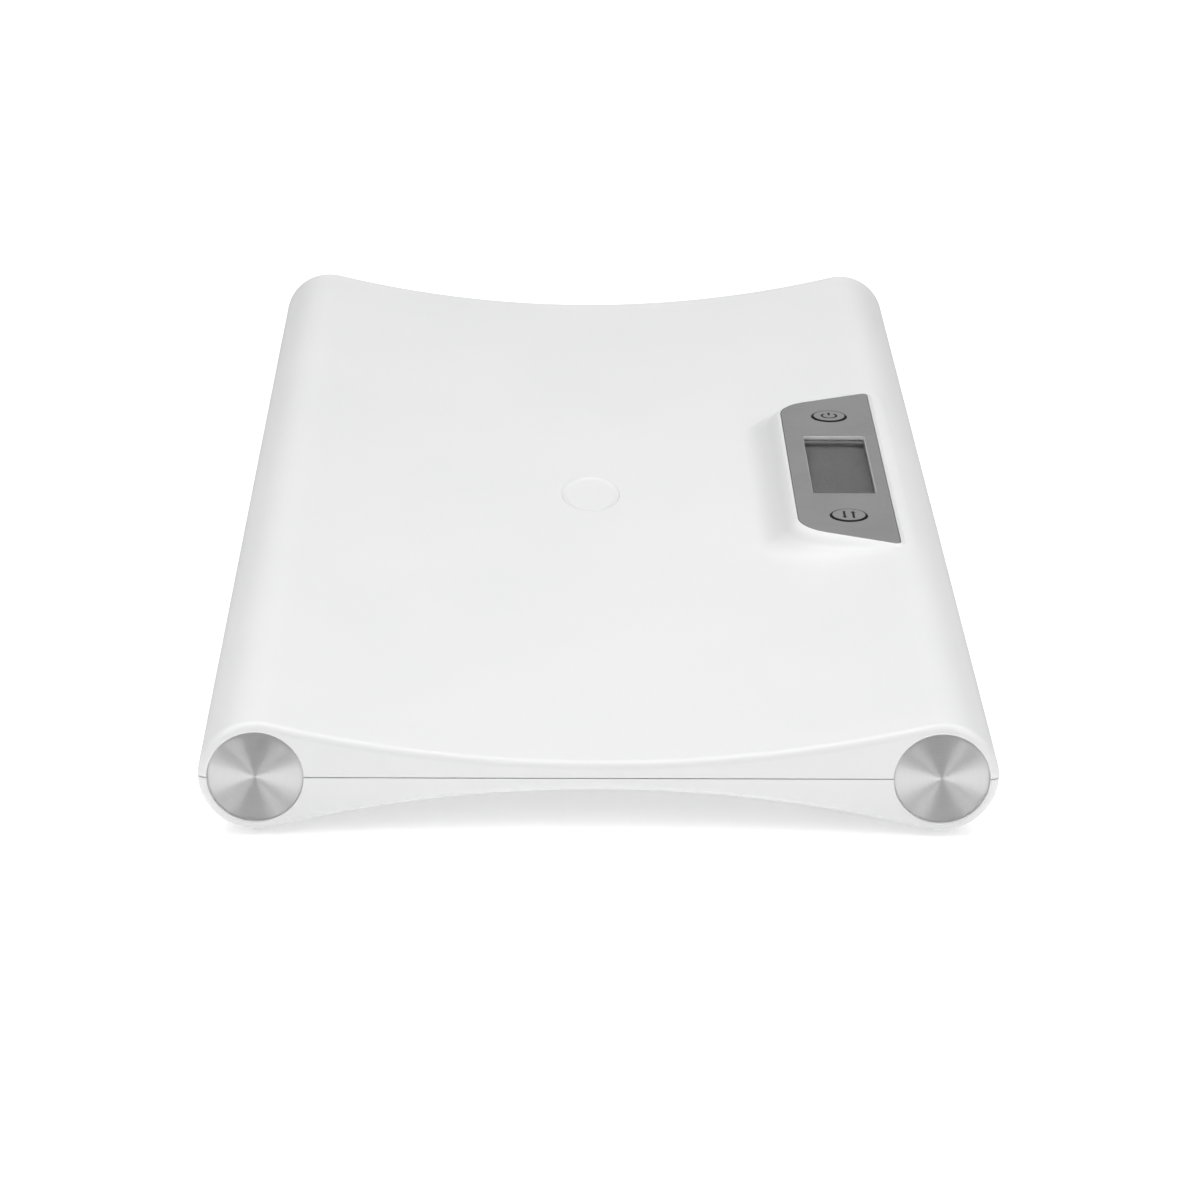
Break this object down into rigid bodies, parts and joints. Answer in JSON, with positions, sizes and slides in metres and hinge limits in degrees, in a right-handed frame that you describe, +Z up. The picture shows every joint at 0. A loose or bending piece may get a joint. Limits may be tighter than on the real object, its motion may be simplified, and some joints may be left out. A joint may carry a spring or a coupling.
{
  "type": "digital baby weighing scale",
  "caption": "Long shallow weighing tray between tubular edges, with a raised display island, press keys, load cells over its feet and a hinged battery door.",
  "frame": {"origin": "on the floor under the middle of the tray", "axes": "+Z up, +Y along the tray away from the pictured end, +X towards the display's edge"},
  "size_m": [0.3, 0.6, 0.0475],
  "materials": {
    "white_plastic": "smooth high gloss, bright white",
    "spun_metal": "spun, fine circular lines",
    "silver_paint": "satin silver grey",
    "clear_plastic": "clear, polished",
    "display_glass": "grey, flat",
    "black_plastic": "fine matt",
    "carbon_rubber": "matt",
    "circuit_board": "green solder mask",
    "spring_metal": "bright",
    "red_jacket": "satin",
    "black_jacket": "satin",
    "white_jacket": "satin",
    "steel": "bright",
    "grey_rubber": "matt",
    "battery_wrap": "printed film, bare"
  },
  "bodies": {
    "root": {"bottom_shell": "white_plastic", "top_shell": "white_plastic", "badge": "white_plastic", "display_panel": "silver_paint", "display_lens": "clear_plastic", "display_glass": "display_glass", "display_frame": "black_plastic", "power_switch": "black_plastic", "unit_switch": "black_plastic", "controller_chip": "black_plastic", "converter_chip": "black_plastic", "contact_strip_left": "carbon_rubber", "contact_strip_right": "carbon_rubber", "main_board": "circuit_board", "battery_link_contact": "spring_metal", "battery_contact_left": "spring_metal", "battery_contact_right": "spring_metal", "battery_lead_positive": "red_jacket", "battery_lead_negative": "black_jacket", "end_disc_front_left": "spun_metal", "board_screw_front_left": "steel", "load_cell_front_left": "steel", "foot_cup_front_left": "black_plastic", "foot_pad_front_left": "grey_rubber", "load_cell_lead_front_left": "white_jacket", "end_disc_front_right": "spun_metal", "board_screw_front_right": "steel", "load_cell_front_right": "steel", "foot_cup_front_right": "black_plastic", "foot_pad_front_right": "grey_rubber", "load_cell_lead_front_right": "white_jacket", "end_disc_rear_left": "spun_metal", "board_screw_rear_left": "steel", "load_cell_rear_left": "steel", "foot_cup_rear_left": "black_plastic", "foot_pad_rear_left": "grey_rubber", "load_cell_lead_rear_left": "white_jacket", "end_disc_rear_right": "spun_metal", "board_screw_rear_right": "steel", "load_cell_rear_right": "steel", "foot_cup_rear_right": "black_plastic", "foot_pad_rear_right": "grey_rubber", "load_cell_lead_rear_right": "white_jacket", "case_screw_left_1": "steel", "case_screw_left_2": "steel", "case_screw_left_3": "steel", "case_screw_left_4": "steel", "case_screw_right_1": "steel", "case_screw_right_2": "steel", "case_screw_right_3": "steel", "case_screw_right_4": "steel", "battery_1": "battery_wrap", "battery_2": "battery_wrap", "battery_3": "battery_wrap", "battery_4": "battery_wrap"},
    "power_button": {"power_button": "silver_paint"},
    "unit_button": {"unit_button": "silver_paint"},
    "battery_door": {"battery_door": "white_plastic"}
  },
  "joints": [
    {"name": "power_button_press", "type": "slide", "parent": "root", "child": "power_button", "axis": [0, 0, -1], "range_m": [0, 0.0006], "stiffness_N_per_m": 300, "springref_m": -0.004},
    {"name": "unit_button_press", "type": "slide", "parent": "root", "child": "unit_button", "axis": [0, 0, -1], "range_m": [0, 0.0006], "stiffness_N_per_m": 300, "springref_m": -0.004},
    {"name": "battery_door_hinge", "type": "hinge", "parent": "root", "child": "battery_door", "pos_m": [0.1284, -0.04875, 0.003], "axis": [-1, 0, 0], "range_deg": [0, 60]}
  ]
}
